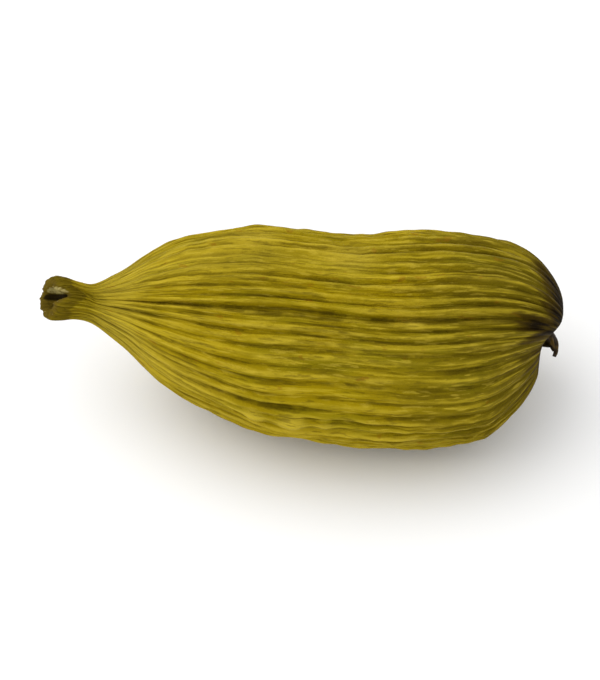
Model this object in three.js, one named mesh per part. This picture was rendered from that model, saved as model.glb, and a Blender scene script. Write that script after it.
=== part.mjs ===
// A green cardamom pod: one dry, ribbed seed capsule of three lobes, with the stub of its stalk at one end
// and the stump of its flower at the other. It grew as one piece, so it is one solid. It lies on its side.
// Millimetres, +Z up. +X runs from the stalk to the flower end, and the origin is the middle of the small
// flat spot that the pod rests on.

import * as THREE from "three";

const { degToRad, smoothstep, clamp } = THREE.MathUtils;

// Driving dimensions
const POD_LENGTH = 20;
const POD_RADIUS = 4.04;
const NECK_RADIUS = 0.69;
const STALK_RIM_RADIUS = 0.81;
const STALK_CUP_RADIUS = 0.46;
const STALK_CUP_DEPTH = 0.5;
const STUMP_RADIUS = 0.3;
const STUMP_LENGTH = 0.95;

// How the pod lies: its broad face is rolled towards -Y, and its underside is pressed flat
const ROLL = degToRad(40);
const FLAT_SPOT_DEPTH = 0.38;

// Ribs run from the stalk to the flower end. Waves around the pod, as [count, size, phase], make them
// unevenly strong and unevenly wide, and each one fades and sways a little on its way
const RIB_COUNT = 50;
const COLUMNS_PER_RIB = 4;
const RIB_DEPTH = 0.26;
const RIB_MEAN_STRENGTH = 0.74;
const RIB_STRENGTH_WAVES = [[5, 0.15, 1], [19, 0.14, 2.4]];
const RIB_WIDTH_WAVES = [[2, 0.05, 0.7], [5, 0.03, 2.1]];
const RIB_TAPER_POWER = 0.8;
const RIB_FADE = { size: 0.14, count: 9, perMillimetre: 0.8 };
const RIB_SWAY = { size: 0.018, count: 2, perMillimetre: 0.75 };

// Three lobes swell between three grooves, and the groove of the broad face stands a little above its middle
const LOBE_COUNT = 3;
const LOBE_SWELL = 0.035;
const GROOVE_ANGLE = degToRad(12);
const GROOVE_DEPTH = 0.3;
const GROOVE_HALF_WIDTH = degToRad(4);
const FULL_BODY_RADIUS = 0.7 * POD_RADIUS;

// The stalk's cut end slants, so that its hollow shows on the broad face
const CUT_SLANT = Math.tan(degToRad(28));
const CUT_FACES = degToRad(10);
const CUT_REACH = [0.3, 3];

// At the flower end the upper lobe is longer than the lower one by twice this step
const LOBE_STEP = 0.47;
const LOBE_STEP_HEIGHT = 0.1;
const LOBE_STEP_WIDTH = 0.45;
const LOBE_STEP_REACH = [16, 19];

// The flower's stump stands in a dimple below the end of the upper lobe, and bends down like a hook
const DIMPLE_RADIUS = 0.9;
const DIMPLE_WALL_RADIUS = 0.6 * DIMPLE_RADIUS;
const STUMP_FOOT = 19.05;
const STUMP_FOOT_RADIUS = 1.2 * STUMP_RADIUS;
const STUMP_RISE = 0.15;
const STUMP_BEND = degToRad(85);

// Outlines from the stalk to the flower end. The ends are in millimetres, as [radius, along]
const STALK_END = [
  [0, STALK_CUP_DEPTH],
  [0.8 * STALK_CUP_RADIUS, 0.9 * STALK_CUP_DEPTH],
  [STALK_CUP_RADIUS, 0.12],
  [(STALK_CUP_RADIUS + STALK_RIM_RADIUS) / 2, 0],
  [STALK_RIM_RADIUS, 0.16],
  [0.98 * STALK_RIM_RADIUS, 0.55],
];
const FLOWER_END = [
  [DIMPLE_RADIUS, STUMP_FOOT + 0.5],
  [DIMPLE_WALL_RADIUS, STUMP_FOOT + 0.28],
  [STUMP_FOOT_RADIUS, STUMP_FOOT],
  [STUMP_RADIUS, STUMP_FOOT + 0.35 * STUMP_LENGTH],
  [0.95 * STUMP_RADIUS, STUMP_FOOT + 0.7 * STUMP_LENGTH],
  [0.75 * STUMP_RADIUS, STUMP_FOOT + 0.92 * STUMP_LENGTH],
  [0, STUMP_FOOT + STUMP_LENGTH],
];

// The body's outline, as shares [of the radius, of the length], and the steps that it is drawn in
const BODY_OUTLINE = [
  [NECK_RADIUS / POD_RADIUS, 0.062],
  [0.19, 0.105],
  [0.335, 0.16],
  [0.585, 0.225],
  [0.78, 0.295],
  [0.935, 0.4],
  [0.98, 0.54],
  [1, 0.69],
  [0.965, 0.81],
  [0.87, 0.885],
  [0.66, 0.942],
  [0.4, 0.977],
];
const BODY_STEPS = 17;

// The centre line's height up the broad face, as [millimetres, share of the length]
const CENTRE_LINE = [
  [1.45, 0],
  [1.2, 0.105],
  [0.76, 0.235],
  [0.12, 0.44],
  [-0.22, 0.65],
  [-0.17, 0.85],
  [-0.02, 1],
];

// Shallow dents of the dried skin, and one bump: where along and around the pod, how deep, and their reach
const DENTS = [
  { along: 12.1, around: degToRad(95), depth: 0.2, length: 1.3, spread: degToRad(34) },
  { along: 7.0, around: degToRad(98), depth: 0.16, length: 0.9, spread: degToRad(26) },
  { along: 7.4, around: degToRad(-70), depth: 0.14, length: 1.6, spread: degToRad(30) },
  { along: 10.4, around: degToRad(-92), depth: 0.14, length: 0.7, spread: degToRad(22) },
  { along: 13.5, around: degToRad(200), depth: 0.22, length: 2.2, spread: degToRad(30) },
  { along: 9.4, around: degToRad(-57), depth: -0.1, length: 1.1, spread: degToRad(9) },
];

/** A smooth curve through outline points, stretched by the two scales. */
function curveThrough(points, acrossScale, alongScale) {
  const scale = new THREE.Vector2(acrossScale, alongScale);
  return new THREE.SplineCurve(points.map((point) => new THREE.Vector2(...point).multiply(scale)));
}

/** The pod's outline for the lathe, from the hollow of the stalk's cut end to the tip of the stump. */
function podOutline() {
  const body = curveThrough(BODY_OUTLINE, POD_RADIUS, POD_LENGTH).getPoints(BODY_STEPS);
  const stalkEnd = STALK_END.map((point) => new THREE.Vector2(...point));
  const flowerEnd = FLOWER_END.map((point) => new THREE.Vector2(...point));
  return [...stalkEnd, ...body, ...flowerEnd];
}

const centreCurve = curveThrough(CENTRE_LINE, 1, POD_LENGTH);

/** The centre line's height at a place along the pod. */
function centreHeight(along) {
  const share = clamp(along / POD_LENGTH, 0, 1);
  const lastStep = CENTRE_LINE.length - 2;
  const step = Math.min(CENTRE_LINE.findLastIndex((point) => point[1] <= share), lastStep);
  const [from, to] = [CENTRE_LINE[step][1], CENTRE_LINE[step + 1][1]];
  return centreCurve.getPoint((step + (share - from) / (to - from)) / (lastStep + 1)).x;
}

/** The shortest turn from one angle to another. */
function turnBetween(from, to) {
  return Math.atan2(Math.sin(to - from), Math.cos(to - from));
}

/** The sum of waves around the pod at an angle. */
function waveSum(waves, around) {
  return waves.reduce((sum, [count, size, phase]) => sum + size * Math.sin(count * around + phase), 0);
}

/** A bell curve: 1 at 0, and small beyond its reach. */
function bell(distance, reach) {
  return Math.exp(-Math.pow(distance / reach, 2));
}

/** The angle that a column stands at: ribs are not evenly wide, and they sway along the pod. */
function ribAngle(around, along) {
  const sway = RIB_SWAY.size * Math.sin(RIB_SWAY.perMillimetre * along + RIB_SWAY.count * around);
  return around + waveSum(RIB_WIDTH_WAVES, around) + sway;
}

/** How far the ribs lift a point from the outline: crests stand out as far as furrows lie in. */
function ribLift(around, along, radius) {
  const fade = RIB_FADE.size * Math.sin(RIB_FADE.perMillimetre * along + RIB_FADE.count * around);
  const strength = RIB_MEAN_STRENGTH + waveSum(RIB_STRENGTH_WAVES, around) + fade;
  const taper = Math.pow(radius / POD_RADIUS, RIB_TAPER_POWER);
  return 0.5 * RIB_DEPTH * strength * taper * Math.cos(RIB_COUNT * around);
}

/** How far the lobes and the grooves between them lift a point of the body. */
function lobeLift(angle, radius) {
  const pitch = (2 * Math.PI) / LOBE_COUNT;
  const fromGroove = turnBetween(GROOVE_ANGLE, angle);
  const fromNearest = fromGroove - pitch * Math.round(fromGroove / pitch);
  const swell = -LOBE_SWELL * radius * Math.cos(LOBE_COUNT * fromGroove);
  return swell - GROOVE_DEPTH * bell(fromNearest, GROOVE_HALF_WIDTH);
}

/** How far the dents push a point of the body in. */
function dentDepth(along, angle) {
  const depthOf = (dent) =>
    dent.depth * bell(along - dent.along, dent.length) * bell(turnBetween(dent.around, angle), dent.spread);
  return DENTS.reduce((sum, dent) => sum + depthOf(dent), 0);
}

/** How far the slant of the stalk's cut shifts a point along the pod. */
function cutShift(along, angle, radius) {
  const slant = CUT_SLANT * (STALK_RIM_RADIUS + radius * Math.cos(angle - CUT_FACES));
  return slant * (1 - smoothstep(along, ...CUT_REACH));
}

/** How far the step between the lobes shifts a point along the pod, by its height above the centre line. */
function stepShift(along, height) {
  const side = Math.tanh((height - LOBE_STEP_HEIGHT) / LOBE_STEP_WIDTH);
  return LOBE_STEP * side * smoothstep(along, ...LOBE_STEP_REACH);
}

/** How much of a point belongs to the flower's stump: all on the stump, none outside the dimple's wall. */
function stumpShare(along, radius) {
  const inDimple = 1 - smoothstep(radius, STUMP_FOOT_RADIUS, DIMPLE_WALL_RADIUS);
  return along > STUMP_FOOT - DIMPLE_RADIUS ? inDimple : 0;
}

/** Bends a straight line down, and gives the place of a point a run along it and a height above it. */
function bentDown(run, height, bend) {
  if (bend <= 0) {
    return new THREE.Vector2(run, height);
  }
  const bendRadius = run / bend;
  const reach = bendRadius + height;
  return new THREE.Vector2(reach * Math.sin(bend), reach * Math.cos(bend) - bendRadius);
}

/** Moves a point of the plain lathe to its place on the unrolled pod, whose broad face has Y up. */
function podPoint(lathePoint) {
  const along = lathePoint.x;
  const around = Math.atan2(lathePoint.y, lathePoint.z);
  const plainRadius = Math.hypot(lathePoint.y, lathePoint.z);
  const angle = ribAngle(around, along);
  const bodyShare = smoothstep(plainRadius, NECK_RADIUS, FULL_BODY_RADIUS);
  const bodyLift = bodyShare * (lobeLift(angle, plainRadius) - dentDepth(along, angle));
  const radius = plainRadius + ribLift(around, along, plainRadius) + bodyLift;
  const height = radius * Math.sin(angle);
  const onStump = stumpShare(along, plainRadius);
  const run = along - STUMP_FOOT;
  const bent = bentDown(run, height, (STUMP_BEND * onStump * run) / STUMP_LENGTH);
  return new THREE.Vector3(
    STUMP_FOOT + bent.x + cutShift(along, angle, radius) + stepShift(along, (1 - onStump) * height),
    centreHeight(along) + bent.y + STUMP_RISE * onStump,
    radius * Math.cos(angle),
  );
}

/** Puts the point that a function returns in the place of every point of a geometry. */
function movePoints(geometry, move) {
  const positions = geometry.getAttribute("position");
  for (let i = 0; i < positions.count; i += 1) {
    const moved = move(new THREE.Vector3().fromBufferAttribute(positions, i));
    positions.setXYZ(i, moved.x, moved.y, moved.z);
  }
}

/** Sets a rolled pod down on z = 0, presses its underside flat and brings the flat spot to the origin. */
function setDown(geometry) {
  geometry.computeBoundingBox();
  geometry.translate(0, 0, -geometry.boundingBox.min.z - FLAT_SPOT_DEPTH);
  const spot = new THREE.Box3();
  movePoints(geometry, (point) => {
    if (point.z <= 0) {
      point.z = 0;
      spot.expandByPoint(point);
    }
    return point;
  });
  const middle = spot.getCenter(new THREE.Vector3());
  geometry.translate(-middle.x, -middle.y, 0);
}

/** The whole pod as one closed geometry, lying on its flat spot. */
function podGeometry() {
  const geometry = new THREE.LatheGeometry(podOutline(), RIB_COUNT * COLUMNS_PER_RIB);
  geometry.rotateZ(-Math.PI / 2); // the lathe's axis now runs along +X
  movePoints(geometry, podPoint);
  geometry.rotateX(ROLL);
  setDown(geometry);
  geometry.computeVertexNormals();
  return geometry;
}

const husk = new THREE.MeshStandardMaterial({ color: 0x88761f, roughness: 0.72, metalness: 0 });

const pod = new THREE.Mesh(podGeometry(), husk);
pod.name = "cardamom_pod";

const part = new THREE.Group();
part.add(pod);

export default part;
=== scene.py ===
"""A dried green cardamom pod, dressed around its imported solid.

The husk is spun from the solid's own outline, then lobed, grooved, ribbed and dented by the same rules,
and it gets the finer relief of a dry skin. Torn fibres stand on the rim of the cut stalk, and shreds
of the dried flower cling to its stump. Forms are worked out in millimetres, and finished meshes are in
metres.
"""

from __future__ import annotations

import logging
import math
import random
from dataclasses import dataclass
from enum import Enum

import bmesh
import bpy
import numpy as np
from mathutils import Matrix, Vector, noise


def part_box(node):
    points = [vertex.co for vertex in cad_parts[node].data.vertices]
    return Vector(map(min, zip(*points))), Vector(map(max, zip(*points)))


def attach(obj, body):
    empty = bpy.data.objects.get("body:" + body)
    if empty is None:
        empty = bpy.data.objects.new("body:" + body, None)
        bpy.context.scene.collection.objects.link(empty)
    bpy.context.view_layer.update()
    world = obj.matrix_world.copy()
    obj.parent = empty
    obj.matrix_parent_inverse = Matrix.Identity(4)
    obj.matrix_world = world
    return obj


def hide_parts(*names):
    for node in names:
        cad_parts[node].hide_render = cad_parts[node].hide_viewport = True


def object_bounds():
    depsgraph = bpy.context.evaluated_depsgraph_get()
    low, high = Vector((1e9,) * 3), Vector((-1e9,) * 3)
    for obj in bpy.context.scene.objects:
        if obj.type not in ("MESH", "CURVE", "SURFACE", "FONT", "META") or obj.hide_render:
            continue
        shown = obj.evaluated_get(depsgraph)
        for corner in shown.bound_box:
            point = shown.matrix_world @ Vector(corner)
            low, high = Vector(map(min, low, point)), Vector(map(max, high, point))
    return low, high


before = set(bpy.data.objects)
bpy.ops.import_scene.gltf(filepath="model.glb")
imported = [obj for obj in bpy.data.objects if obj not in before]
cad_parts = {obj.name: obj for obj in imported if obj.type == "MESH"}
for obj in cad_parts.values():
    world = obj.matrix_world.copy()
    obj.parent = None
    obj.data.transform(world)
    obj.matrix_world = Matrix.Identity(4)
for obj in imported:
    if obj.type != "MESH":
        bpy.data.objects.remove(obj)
CAD_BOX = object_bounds()

LOG = logging.getLogger("cardamom_pod")
MM = 0.001
NODE = "cardamom_pod"
BODY = "root"

Colour = tuple[int, int, int]
Range = tuple[float, float]
Wave = tuple[int, float, float]
Socket = bpy.types.NodeSocket

# The skin's relief as its finish reads it, from the deepest furrow to the highest crest
RELIEF_RANGE: Range = (-1.0, 1.0)


class SkinMap(Enum):
    """Values that the husk's mesh carries at each point, for its finish to read."""

    PLACE = "skin_place"
    RELIEF = "skin_relief"
    GROOVE = "groove"
    STALK = "stalk_end"
    RIM = "cut_rim"
    LIP = "split_lip"
    # Painted shade in the mouth of the stalk's hollow
    MOUTH_SHADE = "stalk_mouth_shade"
    # Pale patches, partly painted highlight
    PALE_AND_HIGHLIGHT = "pale_and_highlight"
    FLOWER = "flower_end"


class Sum(Enum):
    """Ways to work out one value from several."""

    ADD = "ADD"
    MULTIPLY = "MULTIPLY"


def smooth_step(values: np.ndarray, low: float, high: float) -> np.ndarray:
    """Rises smoothly from 0 at the low value to 1 at the high one."""
    share = np.clip((values - low) / (high - low), 0.0, 1.0)
    return share * share * (3.0 - 2.0 * share)


def bell(distance: np.ndarray, reach: float) -> np.ndarray:
    """A bell curve: 1 at 0, and small beyond its reach."""
    return np.exp(-((distance / reach) ** 2))


def turn_between(start: float, end: np.ndarray) -> np.ndarray:
    """The shortest turns from one angle to others, in radians."""
    return np.arctan2(np.sin(end - start), np.cos(end - start))


def wave_sum(waves: tuple[Wave, ...], around: np.ndarray) -> np.ndarray:
    """The sum of waves around the pod, each given as its count, size and phase."""
    return sum(size * np.sin(count * around + phase) for count, size, phase in waves)


def spline(points: np.ndarray, at: np.ndarray) -> np.ndarray:
    """Runs a smooth curve through points.

    Args:
        points: The points, one a row.
        at: Where on the curve, as a point's number and the share of the way to the next.

    Returns:
        The places on the curve, one a row.
    """
    last = len(points) - 1
    step = np.clip(at.astype(int), 0, last - 1)
    share = (at - step)[:, None]
    before = points[np.maximum(step - 1, 0)]
    start = points[step]
    end = points[step + 1]
    after = points[np.minimum(step + 2, last)]
    leave = (end - before) / 2
    arrive = (after - start) / 2
    cubic = 2 * start - 2 * end + leave + arrive
    square = -3 * start + 3 * end - 2 * leave - arrive
    return ((cubic * share + square) * share + leave) * share + start


def linear(colour: Colour) -> tuple[float, float, float, float]:
    """A colour of 0 to 255 a channel as linear light, by the sRGB curve, with full alpha."""
    shares = [channel / 255 for channel in colour]
    return (*(s / 12.92 if s <= 0.04045 else ((s + 0.055) / 1.055) ** 2.4 for s in shares), 1.0)


@dataclass(frozen=True)
class Grain:
    """One layer of uneven growth: smooth noise over the skin, stretched along the pod.

    Attributes:
        size: How far it reaches each way, in the unit of what it changes.
        along: How quickly it changes along the pod, per millimetre.
        around: How quickly it changes around the pod, per millimetre.
        draw: A number that sets this layer apart from the others.
    """

    size: float
    along: float
    around: float
    draw: float

    def at(self, places: np.ndarray) -> np.ndarray:
        """Reads the layer at places on the skin, one a row."""
        stretched = places * (self.along, self.around, self.around) + self.draw
        return self.size * np.array([noise.noise(Vector(place)) for place in stretched])


@dataclass(frozen=True)
class Dent:
    """A shallow dent of the dried skin, or a bump where its depth is negative.

    Attributes:
        along: Its place along the pod, in millimetres.
        around: Its place around the pod, in degrees up from the middle of the broad face.
        depth: Its depth, in millimetres.
        length: Its reach along the pod, in millimetres.
        spread: Its reach around the pod, in degrees.
    """

    along: float
    around: float
    depth: float
    length: float
    spread: float

    def at(self, along: np.ndarray, angle: np.ndarray) -> np.ndarray:
        """Its depth at places along and around the pod."""
        turn = turn_between(math.radians(self.around), angle)
        return self.depth * bell(along - self.along, self.length) * bell(turn, math.radians(self.spread))


@dataclass(frozen=True)
class Split:
    """A split in the near wall of the stalk's stub, which opens its hollow to the broad face.

    Attributes:
        around: Its place around the stalk, in degrees up from the middle of the broad face.
        half_width: Its reach to each side, in degrees.
        depth: How far it runs in from the rim, in millimetres.
        reach: Where along the pod it starts to fade, and where it ends.
        floor_radius: The radius that it doesn't reach inside of, in millimetres.
        ragged: Waves around the stalk that make the whole cut ragged, each as its count, size and phase.
        lip: The height of its pale upper lip above the stalk's axis, and half the lip's own height; the
            lip's paleness is partly pale pith and partly painted highlight.
        mouth: The height of its dark mouth above the axis, and half the mouth's own height; the mouth's
            darkness is painted shade.
        mouth_shade_edge: Where the mouth's painted shade fades, in radii of the stub's hollow.
    """

    around: float = 9.0
    half_width: float = 17.0
    depth: float = 0.45
    reach: Range = (0.4, 2.4)
    floor_radius: float = 0.25
    ragged: tuple[Wave, ...] = ((5, 0.025, 0.4), (11, 0.02, 1.9), (23, 0.012, 0.7))
    lip: Range = (0.3, 0.12)
    mouth: Range = (0.05, 0.15)
    mouth_shade_edge: Range = (0.9, 1.3)

    def shift(self, along: np.ndarray, angle: np.ndarray, radius: np.ndarray, wall: float) -> np.ndarray:
        """How far it pushes points in along the pod.

        Args:
            along: Places along the pod.
            angle: Angles around it, in radians.
            radius: The points' radii.
            wall: The radius where the stub's wall starts.

        Returns:
            The shifts, in millimetres.
        """
        across = bell(turn_between(math.radians(self.around), angle), math.radians(self.half_width))
        torn = self.depth * across + wave_sum(self.ragged, angle)
        fade = 1.0 - smooth_step(along, *self.reach)
        return torn * fade * smooth_step(radius, self.floor_radius, wall)

    def lip_share(self, height: np.ndarray) -> np.ndarray:
        """1 at the height of the pale upper lip, which is partly painted highlight, and 0 away from it."""
        return bell(height - self.lip[0], self.lip[1])

    def mouth_shade_share(self, height: np.ndarray, radius: np.ndarray, wall: float) -> np.ndarray:
        """1 in the mouth, which gets painted shade, and 0 away from it and on the stub's wall, which starts
        at a radius.
        """
        inside = 1.0 - smooth_step(radius / wall, *self.mouth_shade_edge)
        return inside * bell(height - self.mouth[0], self.mouth[1])


@dataclass(frozen=True)
class PodShape:
    """The pod's form: +X from the stalk to the flower end, +Y up its broad face.

    Sizes and places along the pod are in millimetres. Angles are in degrees, and those around the pod are
    counted up from the middle of its broad face. A reach is where along the pod something starts and ends.
    """

    # The whole pod, the radius from which its body is full, and the turn about X that lays it on its side
    length: float = 20.0
    radius: float = 4.04
    full_radius: float = 2.83
    roll: float = 40.0

    # The stalk's neck and cut end: rim, hollow, the slant of the cut and the way it faces, and the split
    neck_radius: float = 0.69
    rim_radius: float = 0.81
    cup_radius: float = 0.46
    cup_depth: float = 0.5
    cut_slant: float = 28.0
    cut_faces: float = 10.0
    cut_reach: Range = (0.3, 3.0)
    split: Split = Split()

    # The flower's stump, which bends down like a hook, and the dimple that it stands in
    stump_radius: float = 0.3
    stump_length: float = 0.95
    stump_foot: float = 19.05
    stump_foot_radius: float = 0.36
    stump_rise: float = 0.15
    stump_bend: float = 85.0
    dimple_radius: float = 0.9
    dimple_wall_radius: float = 0.54

    # The lobes, which swell by a share of the radius, and the step that sets the upper one further out
    lobe_count: int = 3
    lobe_swell: float = 0.035
    lobe_step: float = 0.47
    lobe_step_height: float = 0.1
    lobe_step_width: float = 0.45
    lobe_step_reach: Range = (16.0, 19.0)

    # The grooves between the lobes, of which the first lies on the broad face
    groove_angle: float = 12.0
    groove_depth: float = 0.3
    groove_half_width: float = 4.0

    # The ribs, with waves as count, size and phase, and the sway as size, count and turn per millimetre
    rib_count: int = 50
    rib_depth: float = 0.26
    rib_mean_strength: float = 0.74
    rib_strength_waves: tuple[Wave, ...] = ((5, 0.15, 1.0), (19, 0.14, 2.4))
    rib_width_waves: tuple[Wave, ...] = ((2, 0.05, 0.7), (5, 0.03, 2.1))
    rib_taper_power: float = 0.8
    rib_sway: tuple[float, int, float] = (0.018, 2, 0.75)

    # The body's outline, as shares of the radius against shares of the length
    body: tuple[Range, ...] = (
        (0.171, 0.062),
        (0.19, 0.105),
        (0.335, 0.16),
        (0.585, 0.225),
        (0.78, 0.295),
        (0.935, 0.4),
        (0.98, 0.54),
        (1.0, 0.69),
        (0.965, 0.81),
        (0.87, 0.885),
        (0.66, 0.942),
        (0.4, 0.977),
    )

    # The centre line, as heights against shares of the length
    centre_line: tuple[Range, ...] = (
        (1.45, 0.0),
        (1.2, 0.105),
        (0.76, 0.235),
        (0.12, 0.44),
        (-0.22, 0.65),
        (-0.17, 0.85),
        (-0.02, 1.0),
    )

    # Shallow dents of the dried skin, and one bump
    dents: tuple[Dent, ...] = (
        Dent(12.1, 95, 0.2, 1.3, 34),
        Dent(7.0, 98, 0.16, 0.9, 26),
        Dent(7.4, -70, 0.14, 1.6, 30),
        Dent(10.4, -92, 0.14, 0.7, 22),
        Dent(13.5, 200, 0.22, 2.2, 30),
        Dent(9.4, -57, -0.1, 1.1, 9),
    )

    # Steps in which the outline's length is measured from one of its points to the next
    measuring_steps: int = 40

    def stalk_end(self) -> list[Range]:
        """The stalk's cut end, as radii against places along the pod."""
        return [
            (0.0, self.cup_depth),
            (0.8 * self.cup_radius, 0.9 * self.cup_depth),
            (self.cup_radius, 0.12),
            ((self.cup_radius + self.rim_radius) / 2, 0.0),
            (self.rim_radius, 0.16),
            (0.98 * self.rim_radius, 0.55),
        ]

    def flower_end(self) -> list[Range]:
        """The dimple and the flower's stump, as radii against places along the pod."""
        return [
            (self.dimple_radius, self.stump_foot + 0.5),
            (self.dimple_wall_radius, self.stump_foot + 0.28),
            (self.stump_foot_radius, self.stump_foot),
            (self.stump_radius, self.stump_foot + 0.35 * self.stump_length),
            (0.95 * self.stump_radius, self.stump_foot + 0.7 * self.stump_length),
            (0.75 * self.stump_radius, self.stump_foot + 0.92 * self.stump_length),
            (0.0, self.stump_foot + self.stump_length),
        ]

    def outline(self, rows: tuple[int, int, int]) -> np.ndarray:
        """Draws the outline from the middle of the stalk's hollow to the tip of the flower's stump.

        Args:
            rows: How many steps the stalk's end, the body and the flower's end get.

        Returns:
            Radii and places along the pod, one pair a row.
        """
        body = [(share * self.radius, along * self.length) for share, along in self.body]
        corners = np.array([*self.stalk_end(), *body, *self.flower_end()])
        body_start = len(self.stalk_end())
        body_end = body_start + len(body) - 1
        stretches = ((0, body_start), (body_start, body_end), (body_end, len(corners) - 1))
        drawn = [corners[:1]]
        for (start, end), count in zip(stretches, rows):
            fine = np.linspace(start, end, self.measuring_steps * (end - start) + 1)
            points = spline(corners, fine)
            run = np.concatenate(([0.0], np.cumsum(np.hypot(*np.diff(points, axis=0).T))))
            even = np.interp(np.linspace(0.0, run[-1], count + 1)[1:], run, fine)
            drawn.append(spline(corners, even))
        outline = np.concatenate(drawn)
        outline[:, 0] = np.maximum(outline[:, 0], 0.0)
        outline[-1, 0] = 0.0
        return outline

    def centre_height(self, along: np.ndarray) -> np.ndarray:
        """Finds the centre line's heights.

        Args:
            along: Places along the pod.

        Returns:
            The heights there, in millimetres.
        """
        heights = np.array(self.centre_line)
        share = np.clip(along / self.length, 0.0, 1.0)
        at = np.interp(share, heights[:, 1], np.arange(len(heights)))
        return spline(heights, at)[:, 0]

    def angle(self, around: np.ndarray, along: np.ndarray) -> np.ndarray:
        """Finds the angles that columns stand at: ribs are not evenly wide, and they sway along the pod.

        Args:
            around: Angles around the plain outline, in radians.
            along: Places along it.

        Returns:
            Angles around the pod, in radians.
        """
        size, count, per_mm = self.rib_sway
        sway = size * np.sin(per_mm * along + count * around)
        return around + wave_sum(self.rib_width_waves, around) + sway

    def rib_scale(self, around: np.ndarray, radius: np.ndarray) -> np.ndarray:
        """Half a rib's depth at places on the skin: ribs are unevenly strong, and taper with the pod."""
        strength = self.rib_mean_strength + wave_sum(self.rib_strength_waves, around)
        return 0.5 * self.rib_depth * strength * (radius / self.radius) ** self.rib_taper_power

    def from_groove(self, angle: np.ndarray) -> np.ndarray:
        """Finds the turns from the nearest of the grooves between the lobes.

        Args:
            angle: Angles around the pod, in radians.

        Returns:
            The turns, in radians.
        """
        pitch = 2 * math.pi / self.lobe_count
        turn = turn_between(math.radians(self.groove_angle), angle)
        return turn - pitch * np.round(turn / pitch)

    def groove(self, angle: np.ndarray) -> np.ndarray:
        """1 in the middle of a groove between two lobes, and 0 away from them."""
        return bell(self.from_groove(angle), math.radians(self.groove_half_width))

    def body_share(self, radius: np.ndarray) -> np.ndarray:
        """0 on the stalk and the stump, rising to 1 on the full body."""
        return smooth_step(radius, self.neck_radius, self.full_radius)

    def stump_share(self, along: np.ndarray, radius: np.ndarray) -> np.ndarray:
        """1 on the flower's stump, and 0 outside the dimple's wall."""
        in_dimple = 1.0 - smooth_step(radius, self.stump_foot_radius, self.dimple_wall_radius)
        return np.where(along > self.stump_foot - self.dimple_radius, in_dimple, 0.0)

    def body_lift(self, along: np.ndarray, angle: np.ndarray, radius: np.ndarray) -> np.ndarray:
        """How far lobes, grooves and dents lift points of the body from the outline.

        Args:
            along: Places along the outline.
            angle: Angles around the pod, in radians.
            radius: The outline's radii there.

        Returns:
            The lifts, in millimetres.
        """
        swell = -self.lobe_swell * radius * np.cos(self.lobe_count * self.from_groove(angle))
        dented = sum(dent.at(along, angle) for dent in self.dents)
        return self.body_share(radius) * (swell - self.groove_depth * self.groove(angle) - dented)

    def stalk_shift(self, along: np.ndarray, angle: np.ndarray, radius: np.ndarray) -> np.ndarray:
        """How far the slant of the stalk's cut and the split in its stub shift points along the pod.

        Args:
            along: Places along the outline.
            angle: Angles around the pod, in radians.
            radius: The points' radii.

        Returns:
            The shifts, in millimetres.
        """
        across = radius * np.cos(angle - math.radians(self.cut_faces))
        slant = math.tan(math.radians(self.cut_slant)) * (self.rim_radius + across)
        split = self.split.shift(along, angle, radius, self.cup_radius)
        return slant * (1.0 - smooth_step(along, *self.cut_reach)) + split

    def step_shift(self, along: np.ndarray, height: np.ndarray) -> np.ndarray:
        """How far the step between the lobes shifts points along the pod, by their heights."""
        side = np.tanh((height - self.lobe_step_height) / self.lobe_step_width)
        return self.lobe_step * side * smooth_step(along, *self.lobe_step_reach)

    def place(
        self, along: np.ndarray, around: np.ndarray, radius: np.ndarray, lift: np.ndarray
    ) -> np.ndarray:
        """Puts points of the plain outline in their places on the pod, before it is laid on its side.

        Args:
            along: Places along the outline.
            around: Angles around it, in radians.
            radius: The outline's radii there.
            lift: How far the ribs and the finer relief stand out there.

        Returns:
            The points, one a row, in millimetres.
        """
        angle = self.angle(around, along)
        lifted = radius + lift + self.body_lift(along, angle, radius)
        height = lifted * np.sin(angle)
        on_stump = self.stump_share(along, radius)
        run = along - self.stump_foot
        bend = math.radians(self.stump_bend) * on_stump * run / self.stump_length
        forward = run * np.sinc(bend / math.pi) + height * np.sin(bend)
        drop = run * np.sin(bend / 2) * np.sinc(bend / (2 * math.pi))
        shift = self.stalk_shift(along, angle, lifted) + self.step_shift(along, (1.0 - on_stump) * height)
        x = self.stump_foot + forward + shift
        y = self.centre_height(along) + self.stump_rise * on_stump + height * np.cos(bend) - drop
        return np.stack((x, y, lifted * np.cos(angle)), axis=1)


@dataclass(frozen=True)
class Resting:
    """How the pod lies: rolled on its side, then shifted to where its solid lies.

    Attributes:
        turn: The turn about X.
        shift: The shift after it, in millimetres.
    """

    turn: Matrix
    shift: Vector

    @classmethod
    def in_box(cls, shape: PodShape, points: np.ndarray) -> Resting:
        """Finds the shift that brings a pod's rolled points to its solid's box.

        Args:
            shape: The pod's form, which gives the roll.
            points: The pod's points before the roll, in millimetres.

        Returns:
            The roll and the shift.
        """
        turn = Matrix.Rotation(math.radians(shape.roll), 3, "X")
        rolled = points @ np.array(turn).T
        low, high = (np.array(corner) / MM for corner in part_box(NODE))
        lowest = rolled.min(axis=0)
        highest = rolled.max(axis=0)
        middle = (low + high - lowest - highest) / 2
        return cls(turn, Vector((middle[0], middle[1], high[2] - highest[2])))

    def lay(self, points: np.ndarray) -> np.ndarray:
        """Lays points down, with none below the surface.

        Args:
            points: The points before the roll, in millimetres.

        Returns:
            The points where they lie, in metres.
        """
        laid = points @ np.array(self.turn).T + np.array(self.shift)
        laid[:, 2] = np.maximum(laid[:, 2], 0.0)
        return laid * MM


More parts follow.
